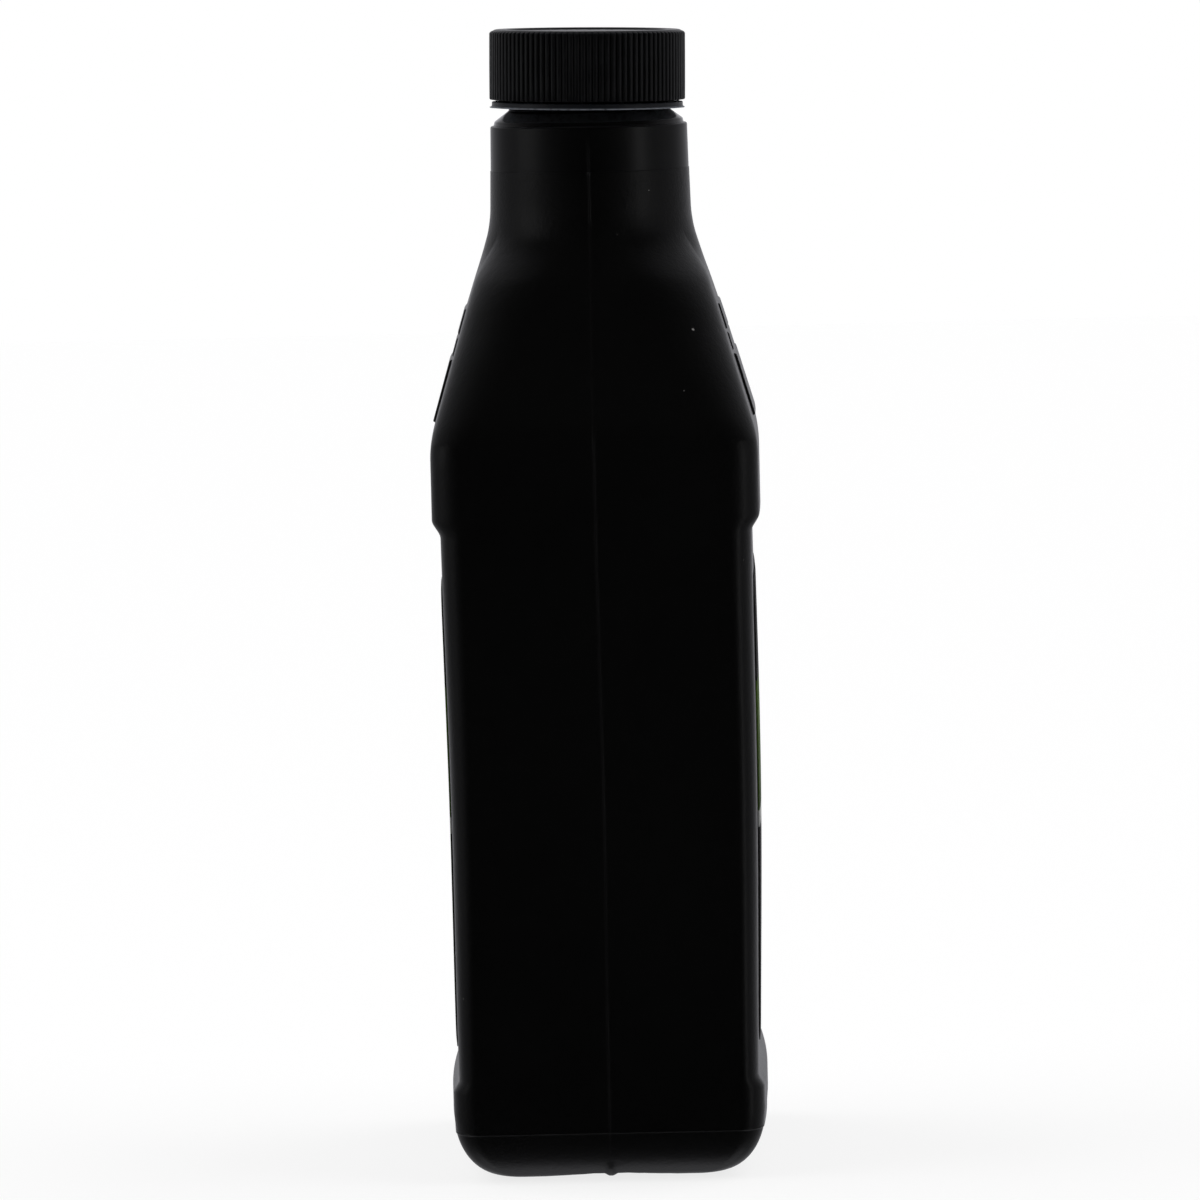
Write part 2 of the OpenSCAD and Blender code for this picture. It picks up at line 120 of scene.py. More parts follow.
def width_at(z):
    slope = neck_r + (FLARE_Z - z) * (BODY_W / 2 - neck_r) / (FLARE_Z - bend_z)
    return soft_min(soft_max(neck_at(z), slope, SIDE_BLEND), BODY_W / 2, SIDE_BLEND)


def in_recess(z):
    return ease((RECESS_TOP - z) / RECESS_LIP)


def in_base(z):
    return ease((RECESS_LOW + RAMP_H / 2 - z) / RAMP_H)


def panel_at(z):
    u = 2 * np.clip((z - RECESS_LOW) / (RECESS_TOP - RECESS_LOW), 0.0, 1.0) - 1
    return PANEL_BOW * (1 - (1 - EDGE_BOW) * u * u)


def face_at(z, s):
    sunk = np.clip((RECESS_TOP - z) / (RECESS_TOP - RECESS_LOW), 0.0, 1.0)
    column = block_y - RECESS_D - RECESS_TAPER * sunk
    top = lerp(block_at(z), column, in_recess(z))
    bow = lerp(BLOCK_BOW * ease((1 - rise(z)) * 2), panel_at(z), in_recess(z))
    return lerp(top + bow * (1 - s * s), base_y + BASE_BOW * (1 - s * s), in_base(z))


def growth(t):
    start, end = math.sqrt(CORNER_START), math.sqrt(1 + CORNER_START)
    return (np.sqrt(np.clip(t, 0, 1) + CORNER_START) - start) / (end - start)


def corner_at(z):
    low = lerp(CORNER_R, SHOULDER_R, growth(rise(z) / CORNER_PARTS[0]))
    return lerp(low, neck_r - 0.5, ease((rise(z) - CORNER_PARTS[1]) / (1 - CORNER_PARTS[1])))


def sway_at(z):
    return SWAY * np.sin(np.pi * np.clip((z - RECESS_LOW) / (RECESS_TOP - RECESS_LOW), 0, 1)) ** 2


def arch_at(y):
    return np.where(abs(y) < arch_reach, ARCH_H * np.cos(np.pi / 2 * y / arch_reach) ** 2, 0.0)


# %% [markdown]
# The halves of the blowing mould leave a thin raised seam down the middle of both narrow sides.
# The neck insert and the base insert each leave a fine line round the bottle. They are less than
# a fifth of a millimetre high, but they catch the light, so they are modelled and not painted.

# %% Mould marks
SEAM_H, SEAM_W = 0.19, 0.24
PARTING_Z, PARTING_H = 10.2, 0.14
TAIL_TOP = 4.2


def seam_at(z):
    blob = 1.2 * hump((z - INSERT_Z + 0.1) / 0.45)
    wander = 0.82 + 0.18 * np.sin(z * 0.9) * np.sin(z * 0.23 + 1)
    return SEAM_H * wander * ease((z - 4) / 6) + SEAM_H * blob


def bars_at(z, x, reach):
    height = 0.0
    for low, tall, thick in zip(bar_low, BAR_H, BAR_T):
        height = height + thick * ease((z - low) / BAR_EDGE) * ease((low + tall - z) / BAR_EDGE)
    return height * ease((reach + BAR_EDGE - x) / BAR_EDGE)


# %% [markdown]
# A quarter of a ring runs from the middle of a narrow side, round the corner, to the middle of a
# wide face. One number along it, from 0 to 13, says where a point lies. The flat takes 0 to 3, the
# corner 3 to 9 and the wide face 9 to 13, so points can be packed where the shape needs them: at
# the seam, round the corner and across the ends of the grip bars.

# %% Stations along a quarter ring
SEAM_STOPS = np.array([0, 0.1, 0.2, 0.32, 0.5, 0.8])
REST = np.concatenate([np.linspace(0, 0.3, 6, endpoint=False), np.linspace(0.3, 1, 25)])
WIDE = np.concatenate([np.linspace(9, 10, 9)[1:], np.linspace(10, 11, 7)[1:], np.linspace(11, 13, 12)[1:]])
DENSE = np.linspace(0, 9, 241)
QUARTER_N = len(SEAM_STOPS) + len(REST) + len(WIDE)


def stations(curve):
    """Stations of the points, with the first ones at set distances from the seam."""
    first = np.interp(np.append(SEAM_STOPS, 1.4), curve(DENSE)[1], DENSE)
    return np.concatenate([first[:-1], first[-1] + (9 - first[-1]) * REST, WIDE])


def round_curve(a, b):
    return lambda t: (a * np.cos(np.pi / 26 * t), b * np.sin(np.pi / 26 * t))


def body_curve(z, wall, low, inset):
    """x and y along a quarter ring of the body, as a function of the station."""
    a, end, full = width_at(z) - inset, face_at(z, 1) - inset, block_at(z) - inset
    r = max(0.6, min(corner_at(z) - wall, min(a, full) - 0.2))
    flat_x, flat_y = a - r, full - r
    zone = ease((z - bend_z + 1) / (BAR_Z - bend_z)) * (1 - ease((z - bar_top - 1) / 4))
    reach = lerp(BAR_REACH[0], BAR_REACH[1], np.clip((z - BAR_Z) / (bar_top - BAR_Z), 0, 1))
    stops = [flat_x, lerp(0.75 * flat_x, min(reach + BAR_EDGE, 0.96 * flat_x), zone),
             lerp(0.5 * flat_x, min(reach, 0.9 * flat_x), zone), 0.25 * flat_x, 0]
    oval = round_curve(width_at(z) - wall, block_at(z) - wall)
    k = ease((rise(z) - CIRCLE_FROM) / (1 - CIRCLE_FROM))

    def curve(t):
        turn = np.clip(t - 3, 0, 6) * np.pi / 12
        x = np.where(t < 9, flat_x + r * np.cos(turn), np.interp(t, [9, 10, 11, 12, 13], stops))
        y = np.where(t < 3, flat_y * np.interp(t, [0, 1, 2, 3], [0, 0.25, 0.5, 1]),
                     flat_y + (end - flat_y) * np.sin(turn))
        y = np.where(t > 9, face_at(z, x / flat_x) - inset, y)
        if wall == 0:
            y = y + np.where(t > 9, bars_at(z, x, reach), 0)
        ox, oy = oval(t)
        return lerp(x, ox, k), lerp(y, oy, k)
    return curve


def mirrored(x, y, z):
    """A whole ring from one quarter, counter-clockwise and with no point twice."""
    q = np.stack([x, y, z], 1)
    return np.concatenate([q, q[-2::-1] * [-1, 1, 1], q[1:] * [-1, -1, 1], q[-2:0:-1] * [1, -1, 1]])


print("points in a ring:", 4 * QUARTER_N - 4)


# %% [markdown]
# Rings stacked from the bottom up make the outer skin. Where the section changes quickly, at the
# base's round, the lips, the bars and the flare, the rings lie close together; on the plain
# panels they can lie far apart.

# %% Rings of the body
def body_ring(z, wall=0.0, low=0.0):
    t = np.clip((ROUND_H - z) / (ROUND_H - low), 0, 1)
    inset = wall + (ROUND_W - wall) * (1 - math.sqrt(max(0, 1 - t * t)))
    if wall == 0:
        inset -= PARTING_H * hump((z - PARTING_Z) / 0.16)
    curve = body_curve(z, wall, low, inset)
    x, y = curve(stations(curve))
    if wall == 0:
        x = x + seam_at(z) * hump(y / SEAM_W)
        x = x + 0.9 * hump((y - 0.2) / 0.8) * ease((TAIL_TOP - z) / TAIL_TOP)
    lift = low + arch_at(y)
    if wall == 0:
        lift = lift * (1 - 0.9 * hump((y - 0.2) / 0.8))
    return mirrored(x, y, np.maximum(z, lift)) - [0, sway_at(z), 0]


def under_ring(t, lift):
    """A ring of the base's underside, t from 0 at the feet's outer edge to 3 round the push-up."""
    inset = ROUND_W + t * FOOT_W
    z = PUSH_UP * float(np.interp(t, [0, 1, 1.25, 1.75, 2, 3], [0, 0, 0.14, 0.76, 0.9, 1]))
    a, b = BODY_W / 2 - inset, base_y - inset
    r = max(0.5, CORNER_R - inset * 0.3)

    def curve(s):
        turn = np.clip(s - 3, 0, 6) * np.pi / 12
        x = np.where(s < 9, a - r + r * np.cos(turn), (a - r) * np.interp(s, [9, 13], [1, 0]))
        y = np.where(s < 3, (b - r) * s / 3, b - r + r * np.sin(turn))
        return x, y
    x, y = curve(stations(curve))
    ridge = 1 - 0.75 * hump(y / 0.5) if lift == 0 else 1
    return mirrored(x, y, np.maximum(z, arch_at(y) * ridge) + lift)


def spread(low, high, n):
    return list(np.linspace(low, high, n, endpoint=False))


blend_z = BEND_BLEND / SLOPE
base_zs = [ROUND_H * (1 - math.cos(t)) for t in np.linspace(0, 1.3, 26)]
part_zs = [PARTING_Z + d for d in (-0.45, -0.25, -0.12, 0, 0.12, 0.25, 0.45)]
low_zs = [z for z in base_zs if abs(z - PARTING_Z) > 0.5] + part_zs + [ROUND_H]
ramp_low, ramp_high = RECESS_LOW - RAMP_H / 2, RECESS_LOW + RAMP_H / 2
wall_zs = spread(ramp_low, ramp_high, 16) + spread(ramp_high, RECESS_TOP - RECESS_LIP, 14)
lip_zs = spread(RECESS_TOP - RECESS_LIP, RECESS_TOP, 20) + spread(RECESS_TOP, bend_z - 6, 5)
bend_zs = spread(bend_z - 6, BAR_Z - 0.1, 22)
bar_zs = []
for low, tall in zip(bar_low, BAR_H):
    edge = np.linspace(0, BAR_EDGE, 6)
    bar_zs += [low - 0.05] + list(low + edge) + spread(low + 1, low + tall - 1, int(tall))
    bar_zs += list(low + tall - edge[::-1]) + [low + tall + 0.05]
top_zs = spread(bar_top + 0.4, FLARE_Z - 2 * blend_z, 10) + spread(FLARE_Z - 2 * blend_z, FLARE_Z + 6.5, 26)
line_zs = [INSERT_Z + d for d in (-3, -1.2, -0.6, -0.3, -0.1, -0.02)]
outer_zs = sorted(low_zs + wall_zs + lip_zs + bend_zs + bar_zs + top_zs + line_zs)
print("rings of the outer skin:", len(outer_zs))


# %% [markdown]
# Above the insert's line the neck is turned: a smooth collar, a ledge, a slim waist in the shadow
# of the cap, the bead that holds the tamper band, and the wall that carries the thread. The same
# rings simply go on as circles, over the mouth and down the bore to the inner skin.

# %% Rings of the neck
CONE_STEP, CONE_FOOT, CONE_TAPER, CONE_GAP = 0.7, 1.0, 0.2, 0.35
WAIST_D, BORE_D, FINISH_D, FINISH_H = 33.2, 29.2, 34.8, 17.0
BEAD_D, BEAD_H = 36.4, 1.3
FOIL_T, SEAL_GAP, LINER_T, TOP_T, CAP_H = 0.12, 0.05, 0.98, 1.5, 14.6
SLIT_H, BAND_H = 0.35, 1.3
mouth_z = LEDGE_Z + FINISH_H
ceiling_z = mouth_z + FOIL_T + SEAL_GAP + LINER_T + SEAL_GAP
cap_top = ceiling_z + TOP_T
cap_low = cap_top - CAP_H
band_top = cap_low - SLIT_H
band_low = band_top - BAND_H
bead_z = band_top + 0.1
ledge_r, finish_r, waist_r = LEDGE_D / 2, FINISH_D / 2, WAIST_D / 2
cone_r, cone_top = ledge_r - CONE_STEP, band_low - CONE_GAP


def neck_ring(r, z, seam):
    curve = round_curve(r, r)
    x, y = curve(stations(curve))
    return mirrored(x + seam * hump(y / SEAM_W), y, np.full_like(x, z))


def rounded(r, z, size, first, n):
    """Points round an outer edge of a turned profile, from its side to its top."""
    turns = np.linspace(first, 1.57, n)
    return [(r - size * (1 - math.cos(t)), z - size + size * math.sin(t)) for t in turns]


insert_r = neck_at(INSERT_Z)
collar = [(insert_r - 0.10, INSERT_Z + 0.04), (insert_r - 0.09, INSERT_Z + 0.2)]
for t in (0.1, 0.4, 0.7, 1):
    collar.append((lerp(insert_r - 0.08, ledge_r, t), lerp(INSERT_Z, LEDGE_Z - 0.5, t)))
collar += rounded(ledge_r, LEDGE_Z, 0.4, 0.1, 6)
waist = [(cone_r + 0.15, LEDGE_Z), (cone_r, LEDGE_Z + 0.1),
         (cone_r - CONE_TAPER * 0.8, LEDGE_Z + CONE_FOOT * 0.8),
         (cone_r - CONE_TAPER * 1.6, LEDGE_Z + CONE_FOOT),
         (waist_r + 0.25, cone_top - 0.15), (waist_r, cone_top + 0.1),
         (waist_r, bead_z - 0.1), (waist_r + 0.1, bead_z)]
bead = [(BEAD_D / 2 - 0.15, bead_z + 0.15), (BEAD_D / 2, bead_z + 0.35), (BEAD_D / 2, bead_z + BEAD_H * 0.6),
        (BEAD_D / 2 - 0.2, bead_z + BEAD_H * 0.75), (finish_r, bead_z + BEAD_H)]
mouth = [(finish_r, lerp(bead_z + BEAD_H, mouth_z, 0.5)), (finish_r, mouth_z - 0.5)]
mouth += rounded(finish_r, mouth_z, 0.5, 0.3, 5)
bore = [(BORE_D / 2 + 0.2, mouth_z), (BORE_D / 2, mouth_z - 0.2), (BORE_D / 2, LEDGE_Z + 0.5),
        (insert_r - WALL, LEDGE_Z - 4), (insert_r - WALL, INSERT_Z)]
COLLAR_SEAM = 0.8 * SEAM_H
neck_rings = []
for r, z in collar + waist + bead + mouth + bore:
    neck_rings.append(neck_ring(r, z, COLLAR_SEAM if z < LEDGE_Z - 0.6 else 0))
print("rings of the neck:", len(neck_rings))


# %% [markdown]
# One helper turns a stack of rings into faces. Another joins several such stacks into one mesh
# object, in metres, with smooth shading that stops at sharp edges.

# %% From rings to a mesh
def sheet(rings, closed=True, cap_ends=False):
    """Vertices and faces of a stack of rings, which are closed loops or open rows."""
    points = np.concatenate(rings)
    m, n = len(rings), len(rings[0])
    i, j = np.meshgrid(np.arange(m - 1), np.arange(n if closed else n - 1), indexing="ij")
    k = (j + 1) % n
    faces = np.stack([i * n + j, i * n + k, (i + 1) * n + k, (i + 1) * n + j], -1).reshape(-1, 4).tolist()
    if cap_ends:
        points = np.concatenate([points, [rings[0].mean(0), rings[-1].mean(0)]])
        last = (m - 1) * n
        for j in range(n):
            k = (j + 1) % n
            faces += [[m * n, k, j], [m * n + 1, last + j, last + k]]
    return points, faces


def piece(name, sheets, smooth_angle=40):
    """One mesh object from several sheets."""
    points, faces, start = [], [], 0
    for p, f in sheets:
        points.append(p)
        faces += [[v + start for v in face] for face in f]
        start += len(p)
    mesh = bpy.data.meshes.new(name)
    mesh.from_pydata((np.concatenate(points) * MM).tolist(), [], faces)
    mesh.validate()
    mesh.update()
    mesh.polygons.foreach_set("use_smooth", [True] * len(mesh.polygons))
    mesh.set_sharp_from_angle(angle=math.radians(smooth_angle))
    obj = bpy.data.objects.new(name, mesh)
    bpy.context.collection.objects.link(obj)
    print(name, "has", sum(len(f) - 2 for f in faces), "triangles")
    return obj


# %% [markdown]
# The thread is a ridge on a right-hand helix. Its ends run out softly, as a mould must, and its
# foot is sunk a little into the wall that carries it. The neck's ridge stands outwards and the
# cap's stands inwards.

# %% Threads
THREAD_PITCH, THREAD_H, THREAD_W, THREAD_TURNS = 4.233, 1.2, (2.0, 0.9), 1.5
THREAD_GAP, FLANK_GAP, THREAD_SUNK = 0.35, 0.25, 0.3
thread_rise = THREAD_TURNS * THREAD_PITCH
thread_z = (bead_z + BEAD_H + mouth_z - thread_rise) / 2 + 0.2
flank_fall = (THREAD_W[0] - THREAD_W[1]) / 2 / THREAD_H
cap_thread_drop = sum(THREAD_W) / 2 - flank_fall * THREAD_GAP + FLANK_GAP


def thread(root, way, z0, steps=216, runout=20):
    rows = []
    foot, foot_half = root - way * THREAD_SUNK, THREAD_W[0] / 2 + flank_fall * THREAD_SUNK
    for i in range(steps + 1):
        t = 2 * math.pi * THREAD_TURNS * i / steps
        k = float(ease(min(i, steps - i) / runout))
        z = z0 + thread_rise * i / steps
        crest, half = root + way * lerp(-0.1, THREAD_H, k), lerp(THREAD_W[0], THREAD_W[1], k) / 2
        flank = crest - way * 0.12
        shape = [(foot, -foot_half), (flank, -half - 0.05), (crest, -half + 0.1),
                 (crest, half - 0.1), (flank, half + 0.05), (foot, foot_half)]
        rows.append(np.array([[r * math.cos(t), r * math.sin(t), z + dz] for r, dz in shape]))
    return sheet(rows[::-1] if way > 0 else rows, cap_ends=True)


# %% The bottle
under = [under_ring(t, 0) for t in np.linspace(3, 0, 25)[:-1]]
outer = [body_ring(z) for z in outer_zs]
lip_low, flare_low, flare_high = RECESS_TOP - RECESS_LIP, FLARE_Z - 5, FLARE_Z + 6
inner_zs = [BASE_T + (ROUND_H - BASE_T) * (1 - math.cos(t)) for t in np.linspace(0, 1.3, 7)]
inner_zs += spread(ramp_low, ramp_high, 4) + spread(ramp_high, lip_low, 5) + spread(lip_low, RECESS_TOP, 4)
inner_zs += spread(bend_z - 5, bend_z + 3, 6) + spread(bend_z + 4, flare_low, 5)
inner_zs += spread(flare_low, flare_high, 5)
inner = [body_ring(z, WALL, BASE_T) for z in reversed(inner_zs)]
over = [under_ring(t, BASE_T) for t in np.linspace(0.5, 3, 6)]
bottle = piece("bottle_shell", [sheet(under + outer + neck_rings + inner + over, cap_ends=True),
                                thread(finish_r, 1, thread_z)], 50)

# %% [markdown]
# The cap has a hundred fine ribs. Each is a rounded fluting with a narrow valley beside it, and it
# dies away in the top's rounded rim. The skirt is a hair wider half way up, as thin moulded skirts
# are, and the top has a shallow dish. In the photograph the cap sits level while the neck leans, so
# its outer shell is tilted a little: a shear by a small angle does the same as a turn.

# %% The cap
RIB_N, RIB_T, SKIRT_T, RIM_R, DISH_D, DISH_RIM = 100, 0.45, 1.0, 1.0, 0.4, 2.2
TILT, TILT_Z = math.tan(math.radians(1.2)), 227.7
skirt_in = finish_r + THREAD_H + THREAD_GAP
skirt_r = skirt_in + SKIRT_T
cap_r = skirt_r + RIB_T
RIB_STEPS, RIB_FADE = 12, 0.8
turn = np.arange(RIB_N * RIB_STEPS) * 2 * np.pi / (RIB_N * RIB_STEPS)
rib_s = (np.arange(RIB_N * RIB_STEPS) % RIB_STEPS) / RIB_STEPS * 2 - 1
rib = 1 - np.abs(rib_s) ** 3.2


def tilted(ring):
    """Points of the cap or the band, which sit a little askew on the neck."""
    x, y, z = ring.T
    return np.stack([x, y - (z - TILT_Z) * TILT, z + y * TILT], 1)


def cap_ring(r, z, ribs=0.0):
    radius = r + ribs * RIB_T * rib
    return tilted(np.stack([radius * np.cos(turn), radius * np.sin(turn), np.full_like(turn, z)], 1))


rings = [cap_ring(skirt_in + 0.1, cap_low), cap_ring(skirt_r - 0.25, cap_low)]
rings.append(cap_ring(skirt_r - 0.06, cap_low + 0.08, 0.8))
rib_end = cap_top - RIM_R
for t in np.linspace(0, 1, 7):
    z = lerp(cap_low + 0.3, rib_end, t)
    rings.append(cap_ring(skirt_r - 0.02 + 0.02 * math.sin(math.pi * t), z, 1))
for t in np.linspace(0.1, 1.57, 14):
    fade = math.sqrt(max(0, 1 - (t / RIB_FADE) ** 2))
    rings.append(cap_ring(skirt_r - RIM_R * (1 - math.cos(t)), rib_end + RIM_R * math.sin(t), fade))
dish_r = skirt_r - RIM_R - DISH_RIM
for step, z in ((0.3, 0), (0, -0.04), (-0.2, -0.2), (-0.4, -0.36), (-0.7, -DISH_D)):
    rings.append(cap_ring(dish_r + step, cap_top + z))
rings += [cap_ring(r, cap_top - DISH_D) for r in (12, 6, 1.5)]
small = np.linspace(0, 2 * np.pi, 145)[:-1]


def small_ring(r, z):
    return np.stack([r * np.cos(small), r * np.sin(small), np.full_like(small, z)], 1)


inside = [small_ring(1, ceiling_z), small_ring(skirt_in - 0.4, ceiling_z),
          small_ring(skirt_in - 0.1, ceiling_z - 0.1), small_ring(skirt_in, ceiling_z - 0.4),
          small_ring(skirt_in, cap_low + 0.9)]
inside += [tilted(small_ring(r, z)) for r, z in ((skirt_in, cap_low + 0.1), (skirt_in + 0.1, cap_low))]
POINT = [0.01, 0.01, 1]
cap = piece("screw_cap", [sheet(rings), sheet([rings[-1], rings[-1] * POINT]),
                          sheet(inside), sheet([inside[0] * POINT, inside[0]]),
                          thread(skirt_in, -1, thread_z - cap_thread_drop)], 50)

# %% [markdown]
# Under the skirt sits the tamper band. It is thin, so its edges are a little ragged where the
# bridges and the slit were cut, and its lip is uneven. Sums of sine waves make that unevenness
# without any random numbers.

# %% The tamper band
BAND_STEP, BAND_GAP, LIP_H, BRIDGE_N, BRIDGE_W, BRIDGE_GAP = 0.5, 0.4, 0.25, 14, 0.8, 0.1
band_r = cap_r - BAND_STEP
hook_r = waist_r + BAND_GAP
BAND_STEPS = 720
around = np.arange(BAND_STEPS) * 2 * np.pi / BAND_STEPS


def ragged(seed):
    waves = (11, 23, 41, 67, 97, 151)
    return sum(np.sin(w * around + seed * (i + 1) * 1.7) / (i + 2) for i, w in enumerate(waves)) / 1.6


def band_ring(r, z, dr=0.0, dz=0.0, seed=1):
    radius, height = r + dr * ragged(seed), z + dz * ragged(seed + 5)
    return tilted(np.stack([radius * np.cos(around), radius * np.sin(around), height], 1))


bead_r = BEAD_D / 2
hook = [band_ring(hook_r, band_low + 0.02), band_ring(cap_r - 0.5, band_low + 0.02)]
lip = [band_ring(cap_r - 0.14, band_low + 0.05, 0.13, 0.04, 1),
       band_ring(cap_r - 0.14, band_low + LIP_H - 0.06, 0.13, 0.04, 1),
       band_ring(cap_r - 0.32, band_low + LIP_H, 0.08, 0.03, 2)]
wall = [band_ring(band_r + 0.05, band_low + LIP_H + 0.08, 0.03, 0.02, 3),
        band_ring(band_r, band_low + 0.55, 0.02, 0.02, 3),
        band_ring(band_r - 0.02, band_top - 0.15, 0.03, 0.03, 4),
        band_ring(band_r - 0.12, band_top - 0.04, 0.03, 0.03, 6)]
back_side = [band_ring(bead_r + 0.3, band_top - 0.04), band_ring(bead_r + 0.22, band_top - 0.15),
             band_ring(hook_r, band_low + BAND_H * 0.6)]
band_rings = hook + lip + wall + back_side
bridges = []
mid_r = (band_r + bead_r + 0.2) / 2
BRIDGE_T, FIRST_BRIDGE = 0.5, 177
BRIDGE_SHAPE = ((0.42, 0.3), (0.3, 0.42), (-0.3, 0.42), (-0.42, 0.3),
                (-0.42, -0.3), (-0.3, -0.42), (0.3, -0.42), (0.42, -0.3))
for i in range(BRIDGE_N):
    t = math.radians(FIRST_BRIDGE + i * 360 / BRIDGE_N)
    out, side = np.array([math.cos(t), math.sin(t), 0]), np.array([-math.sin(t), math.cos(t), 0])
    rows = []
    bridge_top = band_top + SLIT_H - BRIDGE_GAP
    for z, grow in ((band_top - 0.1, 1.2), (band_top, 1.0), (band_top + 0.15, 0.8), (bridge_top, 0.7)):
        row = [out * (mid_r + BRIDGE_T * u * grow) + side * BRIDGE_W * v * grow for u, v in BRIDGE_SHAPE]
        rows.append(tilted(np.array(row) + [0, 0, z]))
    bridges.append(sheet(rows, cap_ends=True))
band = piece("tamper_ring", [sheet(band_rings + band_rings[:1])] + bridges, 50)

# %% [markdown]
# A label is a thin film that follows the bow of its panel. Its rounded corners are cut row by
# row, and its edge is closed all round, so that it has a real thickness where the light
# catches its rim.

# %% The labels
LABEL_W, LABEL_Z, LABEL_H, LABEL_R, LABEL_T, LABEL_GAP = 73.0, 26.5, 96.8, 6.0, 0.3, 0.09


def label_film(name, side):
    half, flat_x, rows = LABEL_W / 2, BODY_W / 2 - CORNER_R, []
    turns = [LABEL_R * (1 - math.sin(t)) - half for t in np.linspace(1.5, 0, 14)]
    left = [-half] + turns + spread(-0.8 * half, 0, 12)
    for x in left + [0] + [-v for v in reversed(left)]:
        over_r = max(0, abs(x) - half + LABEL_R)
        cut = LABEL_R - math.sqrt(max(0, LABEL_R ** 2 - over_r ** 2))
        z = np.linspace(LABEL_Z + cut, LABEL_Z + LABEL_H - cut, 60)
        y = face_at(z, x / flat_x) + LABEL_GAP - side * sway_at(z)
        lift = LABEL_T * np.ones_like(z)
        lift[[0, -1]] = 0.6 * LABEL_T
        inner_row = np.stack([np.full_like(z, x), y, z], 1)
        outer_row = np.stack([np.full_like(z, x), y + lift, z], 1)
        rows.append(np.concatenate([inner_row, outer_row[::-1]]) * [side, side, 1])
    return piece(name, [sheet(rows[::-1], cap_ends=True)], 60)


front = label_film("front_film", -1)
back = label_film("back_film", 1)

# %% [markdown]
# Shader maths reads best as sums. This small class wraps one socket of a material's node tree, so
# that 1 - mask or height * 0.2 + grain adds the Math nodes by itself. Any other node comes from the
# one method node, which takes the type, the settings and the values or links of the sockets.

# %% A socket that can be added and multiplied
class Wire:
    def __init__(self, tree, socket=None):
        self.tree, self.socket = tree, socket

    def node(self, kind, settings=None, values=None, out=0):
        made = self.tree.nodes.new("ShaderNode" + kind)
        for name, value in (settings or {}).items():
            if name == "stops":
                ramp = made.color_ramp
                for place, colour in value:
                    ends = {0: ramp.elements[0], 1: ramp.elements[-1]}
                    stop = ends[place] if place in ends else ramp.elements.new(place)
                    stop.color = colour
            else:
                setattr(made, name, value)
        for key, value in (values or {}).items():
            if isinstance(value, Wire):
                self.tree.links.new(value.socket, made.inputs[key])
            else:
                made.inputs[key].default_value = value
        return Wire(self.tree, made.outputs[out])

    def math(self, operation, *values):
        return self.node("Math", {"operation": operation}, dict(enumerate(values)))

    def __add__(self, other):
        return self.math("ADD", self, other)

    def __sub__(self, other):
        return self.math("SUBTRACT", self, other)

    def __rsub__(self, other):
        return self.math("SUBTRACT", other, self)

    def __mul__(self, other):
        return self.math("MULTIPLY", self, other)

    def __abs__(self):
        return self.math("ABSOLUTE", self)

    __radd__, __rmul__ = __add__, __mul__

    def above(self, edge, soft):
        """0 below the edge and 1 above it, over a soft width."""
        settings = {"interpolation_type": "SMOOTHSTEP"}
        return self.node("MapRange", settings, {0: self, 1: edge - soft / 2, 2: edge + soft / 2})

    def mix(self, a, b):
        """Colour a where this is 0 and colour b where it is 1."""
        return self.node("Mix", {"data_type": "RGBA"}, {0: self, 6: a, 7: b}, 2)


# %% [markdown]
# Every finish starts alike: a new material with one Principled shader. The place on the object is
# read in metres from the object's own coordinates, which keeps grain and print at their true size
# and lets them ride along when a piece moves.

# %% Starting a finish
def finish(name, **constants):
    """A material, its first wire, its Principled node, and x, y, z over the object in millimetres."""
    material = bpy.data.materials.new(name)
    material.use_nodes = True
    tree = material.node_tree
    shader = tree.nodes["Principled BSDF"]
    for key, value in constants.items():
        shader.inputs[key.replace("_", " ")].default_value = value
    wire = Wire(tree)
    place = wire.node("TexCoord", out=3)
    scaled = wire.node("VectorMath", {"operation": "SCALE"}, {0: place, "Scale": 1 / MM})
    axes = [wire.node("SeparateXYZ", values={0: scaled}, out=i) for i in range(3)]
    return material, wire, shader, scaled, axes


def feed(shader, **wires):
    for key, value in wires.items():
        shader.id_data.links.new(value.socket, shader.inputs[key.replace("_", " ")])


def grey(v, tint=(1.0, 1.0, 1.0)):
    return (v * tint[0], v * tint[1], v * tint[2], 1.0)


def noise(wire, place, scale, detail=3.0, rough=0.55):
    values = {"Vector": place, "Scale": scale, "Detail": detail, "Roughness": rough}
    return wire.node("TexNoise", values=values)


def specks(wire, place, scale, size, share, seed):
    """Sparse tiny marks: dots round the points of a Voronoi pattern, kept only in a share of its cells."""
    moved = wire.node("VectorMath", {"operation": "ADD"}, {0: place, 1: (seed, 2.3 * seed, -seed)})
    values = {"Vector": moved, "Scale": scale}
    near = wire.node("TexVoronoi", {"feature": "F1"}, values)
    chosen = wire.node("TexVoronoi", {"feature": "F1"}, values, 1)
    lot = wire.node("SeparateColor", values={0: chosen})
    return (1 - near.above(size, size)) * lot.above(1 - share, 0.001)


# %% [markdown]
# The bottle is black polyethylene, blown against a blasted mould. The blasting leaves a leathery
# grain of about half a millimetre below the neck insert, and a smooth satin collar above it. A few
# specks of dust and pale scuffs lie on the narrow side. Noise at two sizes makes the grain, and a
# Bump node turns it into light and shade.

# %% The blown black plastic
BODY_BLACK = grey(0.0012, (1.0, 0.97, 1.04))
DUST = grey(0.16, (1.0, 0.98, 0.94))

